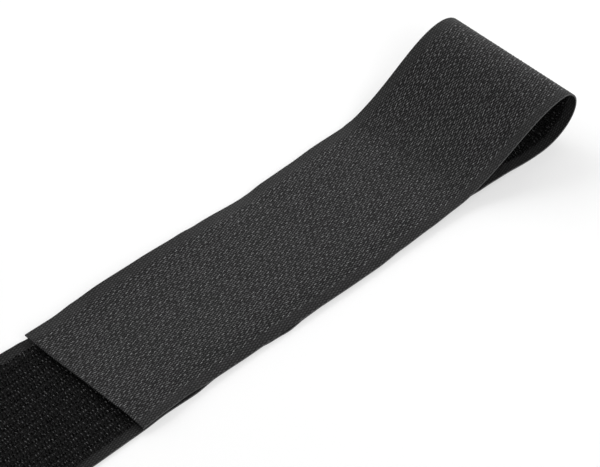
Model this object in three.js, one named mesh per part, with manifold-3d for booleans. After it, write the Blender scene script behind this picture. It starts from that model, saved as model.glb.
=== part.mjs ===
// Roll of woven hook tape on a paper core. The roll stands on its rim with the free end pulled out flat,
// and the end is folded back on itself with the hook face inside and an open loop at the fold.
// Millimetres, +Z up. The tape runs along X and its width lies along Y.

import * as THREE from 'three';
import { mergeVertices } from 'three/addons/utils/BufferGeometryUtils.js';
import Module from 'manifold-3d';

const wasm = await Module();
wasm.setup();

// Tape: a woven ground with a hook yarn bound into its inner face
const tapeWidth = 50;
const tapeLength = 2000;
const groundThickness = 0.25;
const bindingGap = 0.1;
const hookSlice = 0.15;
const selvedge = 4.5;

// Hook: a cut monofilament loop, whose stem leans to its crest and whose free tip points back down
const hookHeight = 1.3;
const hookLean = 0.3;
const hookReach = 0.75;
const hookTipHeight = 0.7;
const hookRadius = 0.15;
const hookSink = 0.08;

// Hook field: close rows where the face lies bare, thinned rows where the fold covers it
const barePitchAlong = 4.5;
const barePitchAcross = 4.1;
const coveredPitchAlong = 12;
const coveredPitchAcross = 8.2;
const fieldMargin = 1.5;

// Free end: bare hook face beside the roll, flap on top of the tail, and the loop at the fold
const bareLength = 91;
const flapLength = 132;
const loopReach = 52;
const bellySetback = 16;
const apexHeight = 11.4;
const archHeight = 1.6;
const frontCrestHeight = 17.4;
const frontCrestSetback = 7.5;
const frontCrestLead = 7;
const frontFootLead = 6;
const backCrestHeight = 20.4;
const backCrestSetback = 10;
const backCrestLead = 12;
const backFootLead = 8;

// Roll: the rest of the tape wound on its paper core
const coreBore = 25.4;
const coreWall = 2.5;
const woundThickness = 1.35;
const woundGap = 0.5;

// Clearances
const nestClearance = 0.15;
const seamGap = 0.3;
const seatGap = 0.3;

// Facets
const curveSteps = 8;
const loopSteps = 5;
const acrossSteps = 4;
const windingSteps = 24;
const coreSides = 48;
const hookSides = 3;

// Worked-out sizes of the tape and of the fold
const sliceBottom = groundThickness + bindingGap;
const backing = sliceBottom + hookSlice;
const tapeThickness = backing + hookHeight;
const flapTop = tapeThickness + nestClearance + backing;
const rollX = -bareLength;
const neckX = flapLength;
const apexX = neckX + loopReach;
const bellyX = apexX - bellySetback;
const archX = (neckX + bellyX) / 2;

const groundFinish = { color: 0x3b3b3d, roughness: 0.8, metalness: 0 };
const hookFinish = { color: 0x1b1b1d, roughness: 0.45, metalness: 0 };
const coreFinish = { color: 0xb48f63, roughness: 0.9, metalness: 0 };

// A level start and end with a smooth slope between them
function sweepTo(path, x0, z0, lead0, x1, z1, lead1) {
  return path.bezierCurveTo(x0 + lead0, z0, x1 - lead1, z1, x1, z1);
}

// The woven back of one edge of the tape, seen from the side, from the roll round the loop to the cut end
function edgeLine(crestHeight, crestSetback, crestLead, footLead) {
  const crestX = apexX - crestSetback;
  const archLead = (archX - neckX) / 2;
  const tail = new THREE.Path().moveTo(rollX, 0).lineTo(neckX, 0);
  sweepTo(tail, neckX, 0, archLead, archX, archHeight, archLead);
  sweepTo(tail, archX, archHeight, archLead, bellyX, 0, archLead);
  const loop = new THREE.Path().moveTo(bellyX, 0);
  loop.absellipse(bellyX, apexHeight, bellySetback, apexHeight, -Math.PI / 2, 0);
  loop.absellipse(crestX, apexHeight, crestSetback, crestHeight - apexHeight, 0, Math.PI / 2);
  const rise = new THREE.Path().moveTo(crestX, crestHeight);
  sweepTo(rise, crestX, crestHeight, -crestLead, neckX, flapTop, -footLead);
  const flap = new THREE.Path().moveTo(neckX, flapTop).lineTo(0, flapTop);
  return { tail, loop, rise, flap };
}

// Stations along a side view: points with the normal that points into the fold, trimmed at both ends
function stations(path, steps, trimStart, trimEnd) {
  const points = path.getPoints(steps);
  const last = points.length - 1;
  const inset = (from, towards, distance) => towards.clone().sub(from).setLength(distance).add(from);
  points[0] = inset(points[0], points[1], trimStart);
  points[last] = inset(points[last], points[last - 1], trimEnd);
  return points.map((point, i) => {
    const before = points[Math.max(i - 1, 0)];
    const after = points[Math.min(i + 1, last)];
    const tangent = after.clone().sub(before).normalize();
    return { point, normal: new THREE.Vector2(-tangent.y, tangent.x) };
  });
}

const frontLine = edgeLine(frontCrestHeight, frontCrestSetback, frontCrestLead, frontFootLead);
const backLine = edgeLine(backCrestHeight, backCrestSetback, backCrestLead, backFootLead);

// One stretch of tape: both edges' stations, which pair up across the width
function stretch(name, steps, trimStart, trimEnd) {
  return {
    front: stations(frontLine[name], steps, trimStart, trimEnd),
    back: stations(backLine[name], steps, trimStart, trimEnd),
  };
}

// A point at a station, a share of the way from the front edge to the back edge, at a depth from the woven back
function stripPoint(strip, i, share, depth) {
  const front = strip.front[i];
  const back = strip.back[i];
  const point = front.point.clone().lerp(back.point, share);
  const normal = front.normal.clone().lerp(back.normal, share).normalize();
  point.addScaledVector(normal, depth);
  return new THREE.Vector3(point.x, (share - 0.5) * tapeWidth, point.y);
}

function solidGeometry(positions, indices) {
  const geometry = new THREE.BufferGeometry();
  geometry.setAttribute('position', new THREE.Float32BufferAttribute(positions, 3));
  geometry.setIndex(indices);
  return geometry;
}

// A closed solid from rings of points that all have the same count, with a flat or a pointed far end
function loft(rings, tip) {
  const sides = rings[0].length;
  const positions = rings.flat().flatMap((p) => [p.x, p.y, p.z]);
  const indices = [];
  for (let i = 0; i + 1 < rings.length; i += 1) {
    for (let k = 0; k < sides; k += 1) {
      const a = i * sides + k;
      const b = i * sides + ((k + 1) % sides);
      indices.push(a, b, a + sides, b, b + sides, a + sides);
    }
  }
  const end = (rings.length - 1) * sides;
  for (let k = 0; k + 1 < sides - 1 - k; k += 1) {
    const far = sides - 1 - k;
    const caps = [[k, k + 1, far]];
    if (k + 1 < far - 1) caps.push([k + 1, far - 1, far]);
    for (const [a, b, c] of caps) {
      indices.push(a, c, b);
      if (!tip) indices.push(end + a, end + b, end + c);
    }
  }
  if (tip) {
    positions.push(tip.x, tip.y, tip.z);
    for (let k = 0; k < sides; k += 1) indices.push(end + k, end + ((k + 1) % sides), end + sides);
  }
  return solidGeometry(positions, indices);
}

// A strip of cloth between two depths, inset from both edges of the tape
function stripSolid(strip, inset, near, far, across) {
  const rings = strip.front.map((_, i) => {
    const ring = [];
    for (let k = 0; k <= across; k += 1) {
      const share = THREE.MathUtils.lerp(inset, tapeWidth - inset, k / across) / tapeWidth;
      ring.push({ share, depth: near });
    }
    const inner = ring.map(({ share }) => ({ share, depth: far })).reverse();
    return [...ring, ...inner].map(({ share, depth }) => stripPoint(strip, i, share, depth));
  });
  return loft(rings);
}

function toManifold(geometry) {
  const bare = geometry.clone();
  bare.deleteAttribute('normal');
  bare.deleteAttribute('uv');
  const merged = mergeVertices(bare);
  const vertProperties = new Float32Array(merged.attributes.position.array);
  const triVerts = new Uint32Array(merged.index.array);
  return new wasm.Manifold(new wasm.Mesh({ numProp: 3, vertProperties, triVerts }));
}

function fromManifold(solid) {
  const { vertProperties, triVerts } = solid.getMesh();
  return solidGeometry([...vertProperties], [...triVerts]);
}

// One hook on a foot point: a stem up to the crest, and a pointed tip that turns down to one side
function hookSolid(foot, up, side) {
  const along = new THREE.Vector3().crossVectors(side, up);
  const place = (rise, lean) => foot.clone().addScaledVector(up, rise).addScaledVector(side, lean);
  const bends = [
    { centre: place(-hookSink, 0), turn: 0 },
    { centre: place(hookHeight - hookRadius, hookLean), turn: Math.PI / 2 },
  ];
  const rings = bends.map(({ centre, turn }) => {
    const outward = side.clone().multiplyScalar(Math.cos(turn)).addScaledVector(up, -Math.sin(turn));
    const ring = [];
    for (let k = 0; k < hookSides; k += 1) {
      const angle = (2 * Math.PI * k) / hookSides;
      const corner = centre.clone().addScaledVector(along, hookRadius * Math.cos(angle));
      ring.push(corner.addScaledVector(outward, hookRadius * Math.sin(angle)));
    }
    return ring;
  });
  return loft(rings, place(hookTipHeight, hookReach));
}

// Where a field has hooks: staggered rows on a strip, between two distances from its start
function hookFeet(strip, field) {
  const runs = [];
  let run = 0;
  for (let i = 0; i + 1 < strip.front.length; i += 1) {
    const start = stripPoint(strip, i, 0.5, backing);
    const end = stripPoint(strip, i + 1, 0.5, backing);
    const length = start.distanceTo(end);
    runs.push({ i, from: run, length });
    run += length;
  }
  const end = Math.min(field.end, run) - fieldMargin;
  const start = field.start + fieldMargin;
  const columns = Math.floor((end - start) / field.along);
  const clearWidth = tapeWidth - 2 * (selvedge + fieldMargin);
  const most = Math.floor(clearWidth / field.across) + 1;
  const rows = most - ((most + field.parity) % 2);
  const feet = [];
  for (let row = 0; row < rows; row += 1) {
    const y = (row - (rows - 1) / 2) * field.across;
    const share = 0.5 + y / tapeWidth;
    const stagger = ((row % 2) + 0.5) / 2;
    for (let column = 0; column < columns; column += 1) {
      const distance = start + (column + stagger) * field.along;
      const { i, from, length } = runs.find((r) => distance <= r.from + r.length);
      const t = (distance - from) / length;
      const foot = stripPoint(strip, i, share, backing).lerp(stripPoint(strip, i + 1, share, backing), t);
      const root = stripPoint(strip, i, share, 0).lerp(stripPoint(strip, i + 1, share, 0), t);
      feet.push({ foot, up: foot.clone().sub(root).normalize(), lean: row % 2 ? -1 : 1 });
    }
  }
  return feet;
}

// The hook yarn of one stretch: its hooks, fused to the slice that binds them to the ground
let hookCount = 0;
function hookField(strip, across, fields) {
  let solid = toManifold(stripSolid(strip, selvedge, sliceBottom, backing, across));
  for (const field of fields) {
    for (const { foot, up, lean } of hookFeet(strip, field)) {
      const side = new THREE.Vector3(0, lean, 0);
      solid = solid.add(toManifold(hookSolid(foot, up, side)));
      hookCount += 1;
    }
  }
  return fromManifold(solid);
}

// Length of the tape that lies free, measured along the middle of its width
function freeLength(strips) {
  let total = 0;
  for (const strip of strips) {
    for (let i = 0; i + 1 < strip.front.length; i += 1) {
      total += stripPoint(strip, i, 0.5, 0).distanceTo(stripPoint(strip, i + 1, 0.5, 0));
    }
  }
  return total;
}

const half = seamGap / 2;
const tailStrip = stretch('tail', curveSteps, half, half);
const loopStrip = stretch('loop', loopSteps, half, half);
const riseStrip = stretch('rise', curveSteps, half, half);
const flapStrip = stretch('flap', curveSteps, half, 0);

// The winding: an even spiral from the core out to the rim, where it meets the tail
const coreRadius = coreBore / 2 + coreWall;
const woundPitch = woundThickness + woundGap;
const innerRadius = coreRadius + seatGap + woundThickness;
const woundLength = tapeLength - freeLength([tailStrip, loopStrip, riseStrip, flapStrip]);
const rollRadius = Math.sqrt(innerRadius ** 2 + (woundLength * woundPitch) / Math.PI);
const turns = (rollRadius - innerRadius) / woundPitch;

function windingStations() {
  const step = (2 * Math.PI) / windingSteps;
  const first = half / rollRadius;
  const last = 2 * Math.PI * turns;
  const angles = [first];
  for (let angle = step; angle < last - step / 2; angle += step) angles.push(angle);
  angles.push(last);
  return angles.reverse().map((angle) => {
    const radius = rollRadius - (woundPitch * angle) / (2 * Math.PI);
    const inward = new THREE.Vector2(Math.sin(angle), Math.cos(angle));
    const point = new THREE.Vector2(rollX, rollRadius).addScaledVector(inward, -radius);
    return { point, normal: inward };
  });
}

// Least distance between the hook side of one turn and the woven back of the next turn inside it
function leastTurnGap(spiral) {
  const samples = (depth) => spiral.slice(0, -1).flatMap((station, i) => {
    const next = spiral[i + 1];
    const start = station.point.clone().addScaledVector(station.normal, depth);
    const end = next.point.clone().addScaledVector(next.normal, depth);
    return [0, 0.25, 0.5, 0.75].map((t) => ({ i, at: start.clone().lerp(end, t) }));
  });
  const hookSide = samples(woundThickness);
  const wovenBack = samples(0);
  let least = Infinity;
  for (const a of hookSide) {
    for (const b of wovenBack) {
      if (a.i - b.i > windingSteps / 2) least = Math.min(least, a.at.distanceTo(b.at));
    }
  }
  return least;
}

const spiral = windingStations();
const windingStrip = { front: spiral, back: spiral };

function coreGeometry() {
  const profile = [
    new THREE.Vector2(coreBore / 2, -tapeWidth / 2),
    new THREE.Vector2(coreRadius, -tapeWidth / 2),
    new THREE.Vector2(coreRadius, tapeWidth / 2),
    new THREE.Vector2(coreBore / 2, tapeWidth / 2),
    new THREE.Vector2(coreBore / 2, -tapeWidth / 2),
  ];
  return new THREE.LatheGeometry(profile, coreSides);
}

const part = new THREE.Group();

function addPiece(name, geometry, finish) {
  const mesh = new THREE.Mesh(geometry, new THREE.MeshStandardMaterial(finish));
  mesh.name = name;
  part.add(mesh);
  return mesh;
}

addPiece('paper_core', coreGeometry(), coreFinish).position.set(rollX, 0, rollRadius);
addPiece('roll_winding', stripSolid(windingStrip, 0, 0, woundThickness, 1), groundFinish);

// The tail has an odd number of rows and the fold an even one, so that the hooks of the two faces pass
// between each other
const bareField = { start: 0, end: bareLength, along: barePitchAlong, across: barePitchAcross, parity: 0 };
const covered = { along: coveredPitchAlong, across: coveredPitchAcross };
const tailField = { ...covered, start: bareLength, end: Infinity, parity: 1 };
const foldField = { ...covered, start: 0, end: Infinity, parity: 0 };

addPiece('tail_ground', stripSolid(tailStrip, 0, 0, groundThickness, 1), groundFinish);
addPiece('tail_hooks', hookField(tailStrip, 1, [bareField, tailField]), hookFinish);
addPiece('loop_ground', stripSolid(loopStrip, 0, 0, groundThickness, acrossSteps), groundFinish);
addPiece('loop_hooks', hookField(loopStrip, acrossSteps, [foldField]), hookFinish);
addPiece('rise_ground', stripSolid(riseStrip, 0, 0, groundThickness, acrossSteps), groundFinish);
addPiece('rise_hooks', hookField(riseStrip, acrossSteps, [foldField]), hookFinish);
addPiece('flap_ground', stripSolid(flapStrip, 0, 0, groundThickness, 1), groundFinish);
addPiece('flap_hooks', hookField(flapStrip, 1, [foldField]), hookFinish);

// The origin lies under the middle of the whole part
const leftEnd = rollX - (rollRadius - woundPitch / 4);
part.position.x = -(leftEnd + apexX) / 2;

console.log(`roll ${(2 * rollRadius).toFixed(1)} mm across, ${turns.toFixed(2)} turns, ${hookCount} hooks`);
console.log(`least gap of the winding to itself ${leastTurnGap(spiral).toFixed(3)} mm`);

export default part;
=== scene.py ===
import math

import bpy
import numpy as np
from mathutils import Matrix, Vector


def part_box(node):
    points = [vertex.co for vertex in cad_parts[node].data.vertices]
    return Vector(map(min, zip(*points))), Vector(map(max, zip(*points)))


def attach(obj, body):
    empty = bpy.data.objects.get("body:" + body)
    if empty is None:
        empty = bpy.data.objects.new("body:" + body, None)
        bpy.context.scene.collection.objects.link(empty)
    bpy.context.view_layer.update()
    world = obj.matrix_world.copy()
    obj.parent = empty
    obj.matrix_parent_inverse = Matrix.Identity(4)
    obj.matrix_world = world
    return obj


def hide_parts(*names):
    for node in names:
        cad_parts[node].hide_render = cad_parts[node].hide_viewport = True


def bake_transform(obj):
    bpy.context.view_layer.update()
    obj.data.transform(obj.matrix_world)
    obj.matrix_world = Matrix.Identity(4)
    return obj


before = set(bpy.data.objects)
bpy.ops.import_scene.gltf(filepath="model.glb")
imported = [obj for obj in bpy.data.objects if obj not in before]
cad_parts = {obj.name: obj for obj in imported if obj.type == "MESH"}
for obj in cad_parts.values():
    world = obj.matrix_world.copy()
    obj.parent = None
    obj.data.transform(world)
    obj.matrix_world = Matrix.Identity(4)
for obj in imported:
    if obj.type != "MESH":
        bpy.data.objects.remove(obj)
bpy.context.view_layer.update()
scene = bpy.context.scene
scene.view_settings.view_transform = "Standard"


# Camera. A long lens 0.88 m away looks down on the folded end from its front left. The roll stands
# just outside the picture, past its lower left corner.
camera_target = Vector((0.0595, 0.00155, 0.0))
camera_distance = 0.8803
camera_azimuth = math.radians(-44.34)
camera_elevation = math.radians(43.71)
camera_back = Vector((
    math.sin(camera_azimuth) * math.cos(camera_elevation),
    -math.cos(camera_azimuth) * math.cos(camera_elevation),
    math.sin(camera_elevation),
))


def put_in_scene(name, data):
    thing = bpy.data.objects.new(name, data)
    scene.collection.objects.link(thing)
    return thing


def aim(thing, way):
    """Turns a camera or a lamp to look along a way."""
    thing.rotation_euler = way.to_track_quat("-Z", "Y").to_euler()


camera = put_in_scene("camera", bpy.data.cameras.new("camera"))
camera.data.sensor_width = 36
camera.data.lens = 174
camera.location = camera_target + camera_back * camera_distance
aim(camera, -camera_back)
scene.camera = camera


# Studio. A white table under four wide soft lamps: one low behind the tape, one beyond the loop, one
# between them and one in front. The table and the world look white to the eye and in what shines.
even_light = 0.03
lamps = {
    "back_lamp": {"place": Vector((0.06, 1.27, 0.46)), "power": 20.5, "size": 1.4},
    "end_lamp": {"place": Vector((1.23, 0.0, 0.675)), "power": 12.5, "size": 1.2},
    "key_lamp": {"place": Vector((0.74, 0.95, 0.68)), "power": 6.5, "size": 1.0},
    "front_lamp": {"place": Vector((-0.21, -1.0, 0.87)), "power": 9.0, "size": 0.8},
}
table_white = (1.0, 1.0, 1.0, 1.0)
table_glow = 0.5
table_drop = 0.0002
table_reach = 1.2


class Value:
    """A shader value: an expression on values adds the nodes that work it out."""

    def __init__(self, socket):
        self.socket = socket

    def node(self, kind, *values, out=0, **settings):
        """Any other node: its settings come first, and its first sockets take the values."""
        return add_node(self.socket.id_data, kind, *values, out=out, **settings)

    def math(self, operation, *others):
        return self.node("ShaderNodeMath", self, *others, operation=operation)

    def __add__(self, other):
        return self.math("ADD", other)

    def __radd__(self, other):
        return self.node("ShaderNodeMath", other, self, operation="ADD")

    def __sub__(self, other):
        return self.math("SUBTRACT", other)

    def __rsub__(self, other):
        return self.node("ShaderNodeMath", other, self, operation="SUBTRACT")

    def __mul__(self, other):
        return self.math("MULTIPLY", other)

    def __rmul__(self, other):
        return self.node("ShaderNodeMath", other, self, operation="MULTIPLY")

    def __truediv__(self, other):
        return self.math("DIVIDE", other)


def feed(socket, value):
    """A socket takes a plain number or colour, or a link from a value."""
    if isinstance(value, Value):
        socket.id_data.links.new(value.socket, socket)
    else:
        socket.default_value = value


def add_node(tree, kind, *values, out=0, **settings):
    made = tree.nodes.new(kind)
    for name, setting in settings.items():
        setattr(made, name, setting)
    for socket, value in zip(made.inputs, values):
        if value is not None:
            feed(socket, value)
    return Value(made.outputs[out]) if made.outputs else None


def seen_or_mirrored(tree):
    """1 where the camera looks straight at a surface, or sees it in one that shines or is clear."""
    straight = add_node(tree, "ShaderNodeLightPath")
    rays = straight.socket.node.outputs
    mirrored = Value(rays["Is Glossy Ray"]).math("MAXIMUM", Value(rays["Is Transmission Ray"]))
    return straight.math("MAXIMUM", mirrored)


world = bpy.data.worlds.new("studio")
world.use_nodes = True
world.node_tree.nodes.clear()
scene.world = world
strength = even_light + (1 - even_light) * seen_or_mirrored(world.node_tree)
sky = strength.node("ShaderNodeBackground", table_white, strength)
sky.node("ShaderNodeOutputWorld", sky)

for name, set_up in lamps.items():
    lamp = put_in_scene(name, bpy.data.lights.new(name, "AREA"))
    lamp.data.energy = set_up["power"]
    lamp.data.size = set_up["size"]
    lamp.location = set_up["place"]
    aim(lamp, camera_target - set_up["place"])

table_mesh = bpy.data.meshes.new("table")
table_corners = [(-1, -1), (1, -1), (1, 1), (-1, 1)]
table_mesh.from_pydata(
    [(x * table_reach, y * table_reach, -table_drop) for x, y in table_corners], [], [(0, 1, 2, 3)],
)
table = put_in_scene("table", table_mesh)
table_paint = bpy.data.materials.new("table_white")
table_paint.use_nodes = True
table_paint.node_tree.nodes.clear()
matt = add_node(table_paint.node_tree, "ShaderNodeBsdfDiffuse", table_white)
glow = matt.node("ShaderNodeEmission", table_white, 1.0)
shown = seen_or_mirrored(table_paint.node_tree) * table_glow
table_face = matt.node("ShaderNodeMixShader", shown, matt, glow)
matt.node("ShaderNodeOutputMaterial", table_face)
table_mesh.materials.append(table_paint)


# Flap. The cut end of the tape, folded back over the tail with its woven back up: a ground of black
# multifilament yarn 0.5 mm thick. Its hooks hold it down, and its bare selvedges droop and wave.
mm = 0.001
tape_width = 50.0
tape_length = 2000.0
ground_thickness = 0.5

# The fold in side view, in mm from the cut end: the flap is level up to the neck, the loop reaches
# out to its apex and comes down on its belly, and the tail arches up once before it lies flat
flap_height = 2.55
neck_x = 129.0
apex_x = 184.0
apex_height = 11.4
belly_x = 168.0
arch_x = 146.0
arch_height = 1.6
arch_foot_x = 120.0
roll_x = -91.0
wound_pitch = 1.85

cut_end_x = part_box("flap_ground")[0].x
core_low, core_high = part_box("paper_core")
roll_radius = (core_low.z + core_high.z) / 2 / mm
mean_wound_radius = roll_radius / 2 + 8.5
line_steps = 160
wound_line_steps = 24 * line_steps


def level_curve(x0, z0, lead0, x1, z1, lead1):
    """A smooth side view line that starts and ends level."""
    t = np.linspace(0, 1, line_steps)[:, None]
    hold = np.array([[x0, z0], [x0 + lead0, z0], [x1 - lead1, z1], [x1, z1]])
    share = [(1 - t) ** 3, 3 * (1 - t) ** 2 * t, 3 * (1 - t) * t**2, t**3]
    return sum(s * p for s, p in zip(share, hold))


def quarter_turn(x, z, across, up, start, end):
    angle = np.radians(np.linspace(start, end, line_steps))
    return np.stack([x + across * np.cos(angle), z + up * np.sin(angle)], 1)


def wound_line():
    """The roll in side view, from where the tail leaves its underside in to the core."""
    turns = tape_length / (2 * math.pi * mean_wound_radius)
    angle = np.linspace(0, 2 * math.pi * turns, wound_line_steps)
    radius = roll_radius - wound_pitch * angle / (2 * math.pi)
    return np.stack([roll_x - radius * np.sin(angle), roll_radius - radius * np.cos(angle)], 1)


def edge_line(crest_height, crest_setback, crest_lead, foot_lead):
    """The woven back of one edge of the tape in side view, from the cut end to the core."""
    crest_x = apex_x - crest_setback
    lead = (belly_x - arch_x) / 2
    pieces = [
        np.linspace((0, flap_height), (neck_x, flap_height), line_steps),
        level_curve(neck_x, flap_height, foot_lead, crest_x, crest_height, crest_lead),
        quarter_turn(crest_x, apex_height, crest_setback, crest_height - apex_height, 90, 0),
        quarter_turn(belly_x, apex_height, apex_x - belly_x, apex_height, 0, -90),
        level_curve(belly_x, 0, -lead, arch_x, arch_height, -lead),
        level_curve(arch_x, arch_height, -lead, arch_foot_x, 0, -lead),
        np.linspace((arch_foot_x, 0), (roll_x, 0), line_steps),
    ]
    free_points = sum(len(p) for p in pieces)
    return np.concatenate([*pieces, wound_line()]), free_points


front_line, free_points = edge_line(crest_height=17.7, crest_setback=6.4, crest_lead=15.5, foot_lead=19)
back_line, free_points = edge_line(crest_height=20.3, crest_setback=9.9, crest_lead=14.2, foot_lead=18)
middle_steps = np.linalg.norm(np.diff((front_line + back_line) / 2, axis=0), axis=1)
line_along = np.concatenate([[0], np.cumsum(middle_steps)])
roll_along = line_along[free_points - 1]

# How far the tape strays sideways, how far the flap's edges stand off its middle and how far the
# tail's back selvedge curls up, in mm at distances from the cut end or, on the tail, from the roll
flap_at = [0, 10, 18, 28, 44, 60, 67, 87, 95, 106, 118, 131, 144]
flap_stray = [-0.45, -0.4, 0.1, -0.1, -0.25, -0.45, -0.6, -0.9, -0.9, -0.5, -0.27, -0.1, 0]
front_lift = [-1.2, -0.6, -0.95, -1.5, -1.75, -1.55, -1.55, -1.55, -1.6, -1.3, -1.05, -0.4, 0]
back_lift = [0.8, 0.5, 0.55, 1.35, 1.2, 0.7, 0.2, -0.85, 0, -0.25, 0.15, -0.2, 0]
tail_at = [0, 31, 71, 91, 101, 112, 121, 136, 143, 149, 156, 171, 191, 219, 226, 233, 241]
tail_stray = [0, -0.1, -0.65, -0.5, -0.1, -0.4, 0.3, 0.3, -0.5, -0.95, -0.4, 0, 0.3, 0.8, 1.0, 0.3, 0]
curl_at = [0, 30, 60, 80, 87, 91, 104]
tail_curl = [0, 1.0, 1.8, 1.8, 1.3, 0.7, 0]
front_fall = 7
back_fall = 4
wound_stray = 0.2
wound_settle = 90
wound_long_wave = 37
wound_short_wave = 11
cut_skew = 1.1
cut_fade = 12.0


def eased(stations, values, at):
    """A line through values at stations that levels off at each of them."""
    at = np.clip(at, stations[0], stations[-1])
    i = np.clip(np.searchsorted(stations, at, "right") - 1, 0, len(stations) - 2)
    start, end = np.take(stations, i), np.take(stations, i + 1)
    t = (at - start) / (end - start)
    return np.take(values, i) + (np.take(values, i + 1) - np.take(values, i)) * t * t * (3 - 2 * t)


def side_view(along, share):
    def read(line, axis):
        return np.interp(along, line_along, line[:, axis])
    x = read(front_line, 0) * (1 - share) + read(back_line, 0) * share + np.minimum(along, 0)
    z = read(front_line, 1) * (1 - share) + read(back_line, 1) * share
    return x, z


def tape_point(along, share):
    """Points of the woven back in the row frame, the way into the hooks there, and the way along."""
    reach = 0.2
    x, z = side_view(along, share)
    x0, z0 = side_view(along - reach, share)
    x1, z1 = side_view(along + reach, share)
    run = np.hypot(x1 - x0, z1 - z0)
    forth_x, forth_z = (x1 - x0) / run, (z1 - z0) / run
    in_x, in_z = forth_z, -forth_x
    lift = eased(flap_at, front_lift, along) * np.clip(1 - 2 * share, 0, 1) ** front_fall
    back_rise = eased(flap_at, back_lift, along) - eased(curl_at, tail_curl, roll_along - along)
    lift += back_rise * np.clip(2 * share - 1, 0, 1) ** back_fall
    stray = eased(flap_at, flap_stray, along) + eased(tail_at, tail_stray, roll_along - along)
    wound = np.maximum(along - roll_along, 0)
    wave = np.sin(wound / wound_long_wave) + 0.5 * np.sin(wound / wound_short_wave)
    stray += wound_stray * np.minimum(wound / wound_settle, 1) * wave
    y = (share - 0.5) * tape_width + stray
    point = np.stack([cut_end_x + (x - in_x * lift) * mm, y * mm, (z - in_z * lift) * mm], -1)
    level = np.zeros_like(x)
    return point, np.stack([in_x, level, in_z], -1), np.stack([forth_x, level, forth_z], -1)


def smooth_mesh(name, corners, faces):
    mesh = bpy.data.meshes.new(name)
    mesh.from_pydata(corners, [], faces)
    mesh.polygons.foreach_set("use_smooth", np.ones(len(faces), bool))
    return mesh


def tape_strip(
    name, start, end, step, across, finishes, inset=0, top=0, depth_at=(0,), depth=(ground_thickness,),
):
    """A closed strip of the tape between two distances from the cut end. It may be set in from the edges
    and from the back, and its depth from the back is given at distances. Its finishes are those of its
    back, its hook side and its long edges."""
    count = round((end - start) / step) + 1
    shares = np.linspace(inset / tape_width, 1 - inset / tape_width, across + 1)
    along, share = np.meshgrid(np.linspace(start, end, count), shares, indexing="ij")
    along = along + cut_skew * (0.5 - share) * np.maximum(1 - along / cut_fade, 0)
    back, inward, _ = tape_point(along, share)
    bottom = np.interp(along, depth_at, depth)[..., None]
    corners = np.concatenate([(back + inward * side * mm).reshape(-1, 3) for side in (top, bottom)])
    near = np.arange(count * (across + 1)).reshape(count, across + 1)
    far = near + near.size

    def quads(a, b, c, d):
        return np.stack([a, b, c, d], -1).reshape(-1, 4)

    outer = quads(near[:-1, :-1], near[1:, :-1], near[1:, 1:], near[:-1, 1:])
    rims = [
        quads(near[:-1, 0], far[:-1, 0], far[1:, 0], near[1:, 0]),
        quads(near[:-1, -1], near[1:, -1], far[1:, -1], far[:-1, -1]),
        quads(near[0, :-1], near[0, 1:], far[0, 1:], far[0, :-1]),
        quads(near[-1, :-1], far[-1, :-1], far[-1, 1:], near[-1, 1:]),
    ]
    inner = quads(far[:-1, :-1], far[:-1, 1:], far[1:, 1:], far[1:, :-1])
    faces = np.concatenate([outer, *rims, inner])
    mesh = smooth_mesh(name, corners.tolist(), faces.tolist())
    flat = np.stack([along * mm, share * tape_width * mm], -1).reshape(-1, 2)
    laid_flat = np.concatenate([flat, flat])[faces.ravel()]
    mesh.uv_layers.new(name="tape").data.foreach_set("uv", laid_flat.ravel())
    for finish in finishes:
        mesh.materials.append(finish)
    sides = np.repeat([0, 2, 2, 0, 0, 1], [len(part) for part in (outer, *rims, inner)])
    mesh.polygons.foreach_set("material_index", sides.astype(np.int32))
    mesh.set_sharp_from_angle(angle=math.radians(45))
    return put_in_scene(name, mesh)


pick_pitch = 1.1 * mm
end_pitch = 0.39 * mm
yarn_relief = 0.05 * mm
selvedge = 2.8 * mm
selvedge_fade = 1.2 * mm

# The weave's repeat in mm, and its four floats: their place in it, along and across, and their tone
repeat_along = 4.5
repeat_across = 3.2
float_places = [(0.22, 0.375, 1.0), (0.47, 0.10, 0.62), (0.73, 0.25, 0.62), (0.97, 0.97, 0.35)]
hollow_length = 1.0
hollow_width = 0.42
hollow_spread = 0.4

# Tones of the weave, in the bare selvedge and in the field between: painted shade where the yarn dips
# under, the tone where it comes over, how far single crossings show a painted glint, and how deep the
# painted shade between the crossings goes
under_shade = (0.22, 0.05)
over_tone = (0.25, 0.3)
glint_tone = (0.35, 1.6)
crossing_shade = (0.7, 1.0)
glint_roughness = 0.15
edge_fibre_scale = 2200.0


def new_finish(name):
    finish = bpy.data.materials.new(name)
    finish.use_nodes = True
    return finish, finish.node_tree, finish.node_tree.nodes["Principled BSDF"]


def two_tone(shade, shadow, light):
    """A colour that goes from shadow to light as the shade goes from 0 to 1."""
    colour = shade.node("ShaderNodeMix", shade, data_type="RGBA", out=2)
    feed(colour.socket.node.inputs[6], shadow)
    feed(colour.socket.node.inputs[7], light)
    return colour


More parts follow.
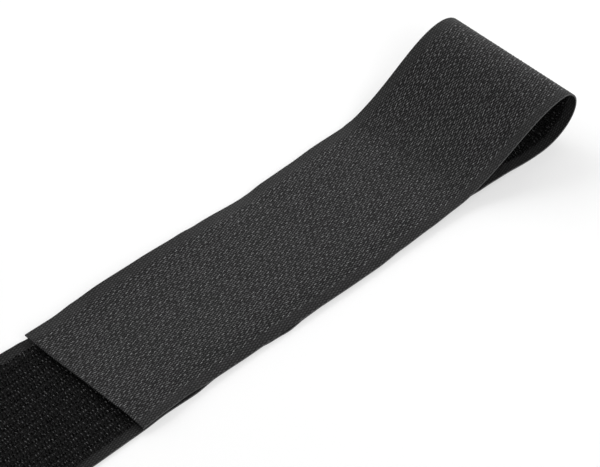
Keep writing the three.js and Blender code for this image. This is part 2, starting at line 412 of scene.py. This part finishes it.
def woven_finish(name, shadow, light, roughness, sheen, hollow_shade, hook_field_shade):
    """Plain weave of dull black yarn: each crossing is a small crown, with painted shade between the
    crossings, and painted shade in rings round the floats of the hook yarn, where the ground would sink in."""
    finish, tree, shader = new_finish(name)
    place = add_node(tree, "ShaderNodeUVMap", uv_map="tape")
    u = place.node("ShaderNodeSeparateXYZ", place)
    v = Value(u.socket.node.outputs[1])
    picks, ends = u / pick_pitch, v / end_pitch
    crown = (picks * math.pi).math("SINE") * (ends * math.pi).math("SINE")
    crown = crown.math("ABSOLUTE").math("POWER", 0.5)
    crossing = picks.node("ShaderNodeCombineXYZ", picks.math("FLOOR"), ends.math("FLOOR"))
    glint = crossing.node("ShaderNodeTexWhiteNoise", crossing, noise_dimensions="2D")
    off_middle = v - tape_width * mm / 2
    from_edge = tape_width * mm / 2 - off_middle.math("ABSOLUTE")
    in_field = ((from_edge - selvedge) / selvedge_fade).math("MAXIMUM", 0.0).math("MINIMUM", 1.0)

    def edge_to_field(tones):
        at_edge, between = tones
        return at_edge + (between - at_edge) * in_field

    # Painted shade: the crossings where the yarn dips under are dark, and each crossing is darker towards its
    # sides than on its crown
    over = (picks.math("FLOOR") + ends.math("FLOOR")).math("FLOORED_MODULO", 2.0)
    grain = edge_to_field(under_shade) + over * (edge_to_field(over_tone) + edge_to_field(glint_tone) * glint)
    between_crossing_shade = edge_to_field(crossing_shade)
    shade = (1.0 - between_crossing_shade + between_crossing_shade * crown) * grain * (1.0 - hook_field_shade * in_field)
    # Painted shade in a ring round each float of the hook yarn; the ground's shape stays flat there
    for place_along, place_across, _ in float_places:
        off_along = u / (repeat_along * mm) - place_along + 0.5
        off_across = off_middle / (repeat_across * mm) - place_across + 0.5
        off_along = (off_along.math("FLOORED_MODULO", 1.0) - 0.5) * (repeat_along / hollow_length)
        off_across = (off_across.math("FLOORED_MODULO", 1.0) - 0.5) * (repeat_across / hollow_width)
        off_ring = ((off_along * off_along + off_across * off_across).math("SQRT") - 1.0) / hollow_spread
        near = (0.0 - off_ring * off_ring).math("EXPONENT")
        shade = shade * (1.0 - hollow_shade * in_field * near)
    feed(shader.inputs["Base Color"], two_tone(shade, shadow, light))
    feed(shader.inputs["Roughness"], roughness + glint_roughness * glint)
    bump = crown.node("ShaderNodeBump")
    feed(bump.socket.node.inputs["Distance"], yarn_relief)
    feed(bump.socket.node.inputs["Height"], crown)
    feed(shader.inputs["Normal"], bump)
    feed(shader.inputs["Sheen Weight"], sheen)
    feed(shader.inputs["Sheen Roughness"], 0.45)
    feed(shader.inputs["Specular IOR Level"], 0.06)
    return finish


woven_back = woven_finish(
    "woven_back", shadow=(0.003, 0.003, 0.0031, 1), light=(0.083, 0.083, 0.0835, 1),
    roughness=0.62, sheen=0.02, hollow_shade=0.5, hook_field_shade=0.0,
)
# The hook side's ground is darkened inside the hook field, painted shade under the hooks
hook_side = woven_finish(
    "hook_side", shadow=(0.002, 0.002, 0.002, 1), light=(0.06, 0.06, 0.0605, 1),
    roughness=0.75, sheen=0.0, hollow_shade=0.0, hook_field_shade=0.81,
)
# The tape's long edges: black yarn with a fibre noise, painted paler than the back as a painted highlight
# where the edges catch light
edge_highlight_yarn, edge_tree, edge_shader = new_finish("edge_highlight_yarn")
edge_place = add_node(edge_tree, "ShaderNodeUVMap", uv_map="tape")
edge_fibres = edge_place.node("ShaderNodeTexNoise", edge_place, None, edge_fibre_scale, 1.0)
edge_colour = two_tone(edge_fibres, shadow=(0.012, 0.012, 0.0121, 1), light=(0.045, 0.045, 0.0455, 1))
feed(edge_shader.inputs["Base Color"], edge_colour)
feed(edge_shader.inputs["Roughness"], 0.55)
tape_finishes = [woven_back, hook_side, edge_highlight_yarn]

# The flap lifts off the tail over the stretch between these two places, in mm from the cut end
flap_seam = neck_x + 7.3
flap_cloth = tape_strip("flap_cloth", 0, flap_seam, 1.0, 40, tape_finishes)
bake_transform(flap_cloth)
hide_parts("flap_ground")


# Hook yarn of the flap. One black nylon monofilament, 0.26 mm thick, is woven in with the ground: it
# makes short floats on the back and loops on the face, each cut on one leg to leave a hook and a stub.
hook_pitch_along = repeat_along / 4
hook_pitch_across = 1.56
hook_rows = 28
hook_height = 1.3
hook_jitter = 0.2
hook_turn = 0.3
hook_seam_gap = 0.3
yarn_radius = 0.13
yarn_sides = 4
hook_line = [(-0.2, -0.12), (-0.2, 0.75), (-0.1, 1.06), (0.12, 1.18), (0.34, 1.06), (0.42, 0.72)]
stub_line = [(-0.5, -0.12), (-0.56, 0.42)]
float_length = 1.45
float_width = 0.24
float_height = 0.14
float_sink = 0.05
float_slant = 0.16
float_turn = 0.12
float_seam_gap = 0.7
size_spread = 0.08
draws = np.random.default_rng(7)


def hook_mesh():
    """A hook and its stub in the side and up plane, open at the foot and closed at the tip."""
    corners, faces = [], []
    for line in (hook_line, stub_line):
        bends = np.array(line, float)
        ways = np.gradient(bends, axis=0)
        ways /= np.linalg.norm(ways, axis=1)[:, None]
        base = len(corners)
        for (side, up), (way_side, way_up) in zip(bends, ways):
            for k in range(yarn_sides):
                turn = 2 * math.pi * (k + 0.5) / yarn_sides
                out = yarn_radius * math.cos(turn)
                corners.append((
                    yarn_radius * math.sin(turn) * mm, (side - way_up * out) * mm, (up + way_side * out) * mm,
                ))
        for ring in range(len(bends) - 1):
            for k in range(yarn_sides):
                a = base + ring * yarn_sides + k
                b = base + ring * yarn_sides + (k + 1) % yarn_sides
                faces.append((a, b, b + yarn_sides, a + yarn_sides))
        faces.append([base + (len(bends) - 1) * yarn_sides + k for k in range(yarn_sides)])
    mesh = smooth_mesh("hook_shape", corners, faces)
    # The height up the hook, which the hook colour uses for painted shade down the stem and a painted
    # highlight on the head
    rise = np.clip(np.array(corners)[:, 2] / (hook_height * mm), 0, 1)
    mesh.attributes.new("rise", "FLOAT", "POINT").data.foreach_set("value", rise)
    return mesh


def float_mesh():
    """A float: a low rounded bar of yarn that dips into the ground at both ends."""
    rings, sides = 5, 4
    corners, faces = [], []
    for i in range(rings):
        t = -1 + 2 * (i + 0.5) / rings
        arch = math.sqrt(1 - t * t)
        for k in range(sides + 1):
            turn = math.pi * k / sides
            corners.append((
                t * float_length / 2 * mm, -math.cos(turn) * float_width / 2 * arch * mm,
                (math.sin(turn) * float_height * arch - float_sink) * mm,
            ))
    step = sides + 1
    for i in range(rings - 1):
        for k in range(sides):
            a = i * step + k
            faces.append((a, a + step, a + step + 1, a + 1))
    faces.append(list(range(step)))
    faces.append([(rings - 1) * step + k for k in reversed(range(step))])
    return smooth_mesh("yarn_float", corners, faces)


def yarn_field_tree():
    """Sets one length of yarn on every foot point, square to the ground and along the tape."""
    tree = bpy.data.node_groups.new("yarn_field", "GeometryNodeTree")
    kinds = {
        "Feet": "NodeSocketGeometry", "Shape": "NodeSocketObject", "Turn Spread": "NodeSocketFloat",
        "Least Size": "NodeSocketFloat", "Most Size": "NodeSocketFloat", "Seed": "NodeSocketInt",
        "Yarn": "NodeSocketMaterial",
    }
    names = {}
    for name, kind in kinds.items():
        names[name] = tree.interface.new_socket(name, in_out="INPUT", socket_type=kind).identifier
    tree.interface.new_socket("Field", in_out="OUTPUT", socket_type="NodeSocketGeometry")
    outputs = tree.nodes.new("NodeGroupInput").outputs
    given = {name: Value(outputs[name]) for name in kinds}

    def way(name):
        return add_node(tree, "GeometryNodeInputNamedAttribute", name, data_type="FLOAT_VECTOR")

    upright = add_node(tree, "FunctionNodeAlignRotationToVector", None, 1.0, way("up"), axis="Z")
    facing = add_node(
        tree, "FunctionNodeAlignRotationToVector", upright, 1.0, way("forth"), axis="X", pivot_axis="Z",
    )
    most = given["Turn Spread"]
    least = most * -1.0
    spread = add_node(tree, "FunctionNodeRandomValue", data_type="FLOAT_VECTOR")
    for axis_socket, limit in zip(spread.socket.node.inputs[:2], (least, most)):
        feed(axis_socket, limit)
    feed(spread.socket.node.inputs["Seed"], given["Seed"])
    turned = add_node(tree, "FunctionNodeRotateRotation", facing, None, rotation_space="LOCAL")
    feed(turned.socket.node.inputs[1], add_node(tree, "FunctionNodeEulerToRotation", spread))
    size = add_node(tree, "FunctionNodeRandomValue", data_type="FLOAT", out=1)
    for limit_socket, limit in zip(size.socket.node.inputs[2:4], (given["Least Size"], given["Most Size"])):
        feed(limit_socket, limit)
    feed(size.socket.node.inputs["Seed"], given["Seed"] + 1)
    shape = add_node(tree, "GeometryNodeObjectInfo", given["Shape"], out=4)
    placed = add_node(tree, "GeometryNodeInstanceOnPoints", given["Feet"], None, shape)
    feed(placed.socket.node.inputs["Rotation"], turned)
    feed(placed.socket.node.inputs["Scale"], size)
    real = add_node(tree, "GeometryNodeRealizeInstances", placed)
    finished = add_node(tree, "GeometryNodeSetMaterial", real, None, given["Yarn"])
    add_node(tree, "NodeGroupOutput", finished)
    return tree, names


yarn_tree, yarn_inputs = yarn_field_tree()


def yarn_field(name, along, share, depth, heading, tone, shape, turn_spread, size, seed, finish):
    """A field of hooks or floats at distances along the tape and shares of its width. Each heads at an
    angle to the tape's length, and its tone is drawn from none up to the one given."""
    point, inward, forth = tape_point(along, share)
    feet_mesh = bpy.data.meshes.new(name + "_feet")
    feet_mesh.from_pydata((point + inward * depth * mm).tolist(), [], [])
    up = inward if depth > 0 else -inward
    heading = heading[:, None]
    forth = forth * np.cos(heading) + np.array([0, 1, 0]) * np.sin(heading)
    for key, ways in (("up", up), ("forth", forth)):
        feet_mesh.attributes.new(key, "FLOAT_VECTOR", "POINT").data.foreach_set("vector", ways.ravel())
    tone = tone * draws.uniform(0, 1, len(along))
    feet_mesh.attributes.new("tone", "FLOAT", "POINT").data.foreach_set("value", tone)
    feet = put_in_scene(name + "_feet", feet_mesh)
    grow = feet.modifiers.new("yarn_field", "NODES")
    grow.node_group = yarn_tree
    settings = {
        "Shape": shape, "Turn Spread": turn_spread, "Least Size": (1 - size_spread) * size,
        "Most Size": (1 + size_spread) * size, "Seed": seed, "Yarn": finish,
    }
    for key, setting in settings.items():
        grow[yarn_inputs[key]] = setting
    graph = bpy.context.evaluated_depsgraph_get()
    mesh = bpy.data.meshes.new_from_object(feet.evaluated_get(graph), depsgraph=graph)
    mesh.name = name
    for key in ("up", "forth"):
        mesh.attributes.remove(mesh.attributes[key])
    bpy.data.objects.remove(feet)
    return put_in_scene(name, mesh)


def hook_feet(start, end, rows):
    """Feet of the hooks between two distances: staggered rows that lean in pairs towards each other."""
    along, share, heading = [], [], []
    first = math.ceil(start / hook_pitch_along)
    last = math.floor(end / hook_pitch_along)
    for row in rows:
        at = (np.arange(first, last) + 0.5 * (row % 2)) * hook_pitch_along
        at = at[(at > start + hook_seam_gap) & (at < end - hook_seam_gap)]
        y = (row - (hook_rows - 1) / 2) * hook_pitch_across
        along.append(at + draws.uniform(-hook_jitter, hook_jitter, len(at)))
        share.append(0.5 + (y + draws.uniform(-hook_jitter, hook_jitter, len(at))) / tape_width)
        heading.append(np.full(len(at), math.pi if row % 2 == 0 else 0))
    return np.concatenate(along), np.concatenate(share), np.concatenate(heading)


def float_feet(start, end):
    """Places of the floats on the back between two distances: four in each repeat of the weave."""
    along, share, tone = [], [], []
    half_field = tape_width / 2 - selvedge / mm
    cells = np.arange(math.floor(start / repeat_along) - 1, math.ceil(end / repeat_along) + 1)
    bands = np.arange(-8, 9)
    for place_along, place_across, place_tone in float_places:
        at, y = np.meshgrid((cells + place_along) * repeat_along, (bands + place_across) * repeat_across)
        keep = (at > start + float_seam_gap) & (at < end - float_seam_gap) & (np.abs(y) < half_field)
        along.append(at[keep])
        share.append(0.5 + y[keep] / tape_width)
        tone.append(np.full(keep.sum(), place_tone))
    return np.concatenate(along), np.concatenate(share), np.concatenate(tone)


def nylon_finish(name, shadow, light, rising, shine):
    """Nylon monofilament, brighter on some of its lengths. A hook's colour is painted shade down its stem
    and a painted highlight at its head; the floats are painted pale, a painted highlight.
    """
    finish, tree, shader = new_finish(name)
    tone = add_node(tree, "ShaderNodeAttribute", out=2, attribute_name="tone")
    if rising:
        rise = add_node(tree, "ShaderNodeAttribute", out=2, attribute_name="rise")
        # Painted shade down a hook's stem and a painted highlight on its head: the colour climbs steeply with
        # the height up the hook
        shade = tone * tone * rise.math("POWER", 6.0)
    else:
        # The floats are painted pale all over, a painted highlight for the light their flat tops catch
        shade = 0.25 + 0.95 * tone
    feed(shader.inputs["Base Color"], two_tone(shade, shadow, light))
    feed(shader.inputs["Roughness"], 0.22 + 0.2 * tone)
    feed(shader.inputs["Specular IOR Level"], shine)
    return finish


hook_nylon = nylon_finish(
    "hook_nylon", shadow=(0.0025, 0.0025, 0.0025, 1), light=(0.17, 0.17, 0.172, 1), rising=True, shine=0.1,
)
# The floats are the hooks' own black yarn, painted paler as a painted highlight
float_highlight_nylon = nylon_finish(
    "float_highlight_nylon", shadow=(0.01, 0.01, 0.0101, 1), light=(0.12, 0.12, 0.121, 1), rising=False, shine=0.5,
)
hook_shape = bpy.data.objects.new("hook_shape", hook_mesh())
yarn_float = bpy.data.objects.new("yarn_float", float_mesh())


def hook_field(name, start, end, seed, rows=range(hook_rows), size=1.0):
    along, share, heading = hook_feet(start, end, rows)
    return yarn_field(
        name, along, share, ground_thickness, heading, 1, hook_shape, hook_turn, size, seed, hook_nylon,
    )


def float_field(name, start, end, seed):
    along, share, tone = float_feet(start, end)
    heading = np.full(len(along), float_slant)
    return yarn_field(name, along, share, 0, heading, tone, yarn_float, float_turn, 1.0, seed, float_highlight_nylon)


flap_hooks = hook_field("flap_hook_yarn", 0, flap_seam, seed=1)
flap_floats = float_field("flap_floats", 0, flap_seam, seed=11)
for piece in (flap_hooks, flap_floats):
    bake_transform(piece)
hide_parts("flap_hooks")


# Loop. The bend of the fold, from the foot of the slope over the crest and round to the table. It is
# the same tape, held open by its own stiffness, and it opens up when the flap is pulled back.
loop_seam = line_along[np.argmin(np.abs(line_along - roll_along + (belly_x - roll_x)))]
loop_cloth = tape_strip("loop_cloth", flap_seam, loop_seam, 0.6, 40, tape_finishes)
loop_hooks = hook_field("loop_hook_yarn", flap_seam, loop_seam, seed=2)
loop_floats = float_field("loop_floats", flap_seam, loop_seam, seed=12)
for piece in (loop_cloth, loop_hooks, loop_floats):
    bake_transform(piece)
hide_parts("loop_ground", "rise_ground")
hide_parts("loop_hooks", "rise_hooks")


# Tail. The stretch that lies on the table between the roll and the loop, with its hooks up. The
# selvedges on both sides of the hook field are bare.
tail_cloth = tape_strip("tail_cloth", loop_seam, roll_along, 1.5, 30, tape_finishes)
tail_middle = (loop_seam + roll_along) / 2
loop_side_hooks = hook_field("loop_side_hook_yarn", loop_seam, tail_middle, seed=3)
roll_side_hooks = hook_field("roll_side_hook_yarn", tail_middle, roll_along, seed=4)
tail_floats = float_field("tail_floats", loop_seam, roll_along, seed=13)
for piece in (tail_cloth, loop_side_hooks, roll_side_hooks, tail_floats):
    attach(piece, "roll_and_tail")
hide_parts("tail_ground")
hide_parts("tail_hooks")


# Core. A tube of kraft paper plies wound on a slant and glued, 25.4 mm inside, which the inner end of
# the tape sticks to. Its ends are cut square and show the plies.
core_bore = 12.7
core_wall = 2.5
core_sides = 128
core_round = 0.25
core_half = tape_width / 2
core_outside = core_bore + core_wall
core_rim = [
    (core_bore + core_round, -core_half), (core_outside - core_round, -core_half),
    (core_outside, -core_half + core_round), (core_outside, core_half - core_round),
    (core_outside - core_round, core_half), (core_bore + core_round, core_half),
    (core_bore, core_half - core_round), (core_bore, -core_half + core_round),
]
core_centre = (core_low + core_high) / 2
core_corners, core_faces = [], []
for k in range(core_sides):
    turn = 2 * math.pi * k / core_sides
    for radius, y in core_rim:
        x, z = radius * math.cos(turn), radius * math.sin(turn)
        core_corners.append((core_centre.x + x * mm, y * mm, core_centre.z + z * mm))
for k in range(core_sides):
    for i in range(len(core_rim)):
        here, there = k * len(core_rim), (k + 1) % core_sides * len(core_rim)
        after = (i + 1) % len(core_rim)
        core_faces.append((here + i, here + after, there + after, there + i))
core_mesh = smooth_mesh("core_tube", core_corners, core_faces)
core_mesh.set_sharp_from_angle(angle=math.radians(50))
core_tube = put_in_scene("core_tube", core_mesh)

ply_width = 48.0
ply_thickness = 0.5
seam_share = 0.012
glue_share = 0.2
kraft_fibre_scale = 700.0
core_kraft, kraft_tree, kraft_shader = new_finish("core_kraft")
kraft_place = add_node(kraft_tree, "ShaderNodeTexCoord", out=3)
fibres = kraft_place.node("ShaderNodeTexNoise", kraft_place, None, kraft_fibre_scale, 4.0)
off_centre = kraft_place.node(
    "ShaderNodeVectorMath", kraft_place, (core_centre.x, 0.0, core_centre.z), operation="SUBTRACT",
)
off_x = off_centre.node("ShaderNodeSeparateXYZ", off_centre)
off_y, off_z = (Value(off_x.socket.node.outputs[k]) for k in (1, 2))
turned = off_z.math("ARCTAN2", off_x) / (2 * math.pi)
ply_turn = (turned + off_y / (ply_width * mm)).math("FLOORED_MODULO", 1.0)
seam = ply_turn.math("LESS_THAN", seam_share)
plies = (off_x * off_x + off_z * off_z).math("SQRT") / (ply_thickness * mm)
glue = plies.math("FLOORED_MODULO", 1.0).math("LESS_THAN", glue_share)
kraft_shade = fibres * (1.0 - 0.7 * seam) * (1.0 - 0.35 * glue)
kraft_colour = two_tone(kraft_shade, shadow=(0.27, 0.17, 0.09, 1), light=(0.48, 0.34, 0.2, 1))
feed(kraft_shader.inputs["Base Color"], kraft_colour)
feed(kraft_shader.inputs["Roughness"], 0.75 + 0.2 * fibres)
core_mesh.materials.append(core_kraft)
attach(core_tube, "roll_and_tail")
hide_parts("paper_core")


# Roll. The rest of the tape, wound hooks inwards on the core so that each turn grips the one below.
# The hooks show only at its sides, in the gaps between the turns; farther in they stand as one mat.
pressed = 0.85
front_rows = (0, 1)
back_rows = (hook_rows - 2, hook_rows - 1)
mat_inset = 7.5
mat_top = 0.6
mat_depth = 1.55
mat_start = roll_along + 25
roll_cloth = tape_strip("roll_cloth", roll_along, tape_length, 2.0, 10, tape_finishes)
front_hooks = hook_field("roll_front_hook_yarn", roll_along, tape_length, 5, front_rows, pressed)
back_hooks = hook_field("roll_back_hook_yarn", roll_along, tape_length, 6, back_rows, pressed)
last_turn = tape_length - 2 * math.pi * (core_outside + mat_depth + wound_pitch / 2)
# The mat has no rise or tone, so it takes the hook nylon's darkest colour all over: black nylon deepened by
# painted shade
roll_mat = tape_strip(
    "roll_hook_mat", mat_start, tape_length, 2.0, 1, [hook_nylon] * 3, mat_inset, mat_top,
    (last_turn, last_turn + 2, tape_length), (mat_depth, mat_depth + wound_pitch, mat_depth),
)
outer_turn = 2 * math.pi * roll_radius
roll_floats = float_field("roll_floats", roll_along, roll_along + outer_turn, seed=14)
for piece in (roll_cloth, front_hooks, back_hooks, roll_mat, roll_floats):
    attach(piece, "roll_and_tail")
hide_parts("roll_winding")
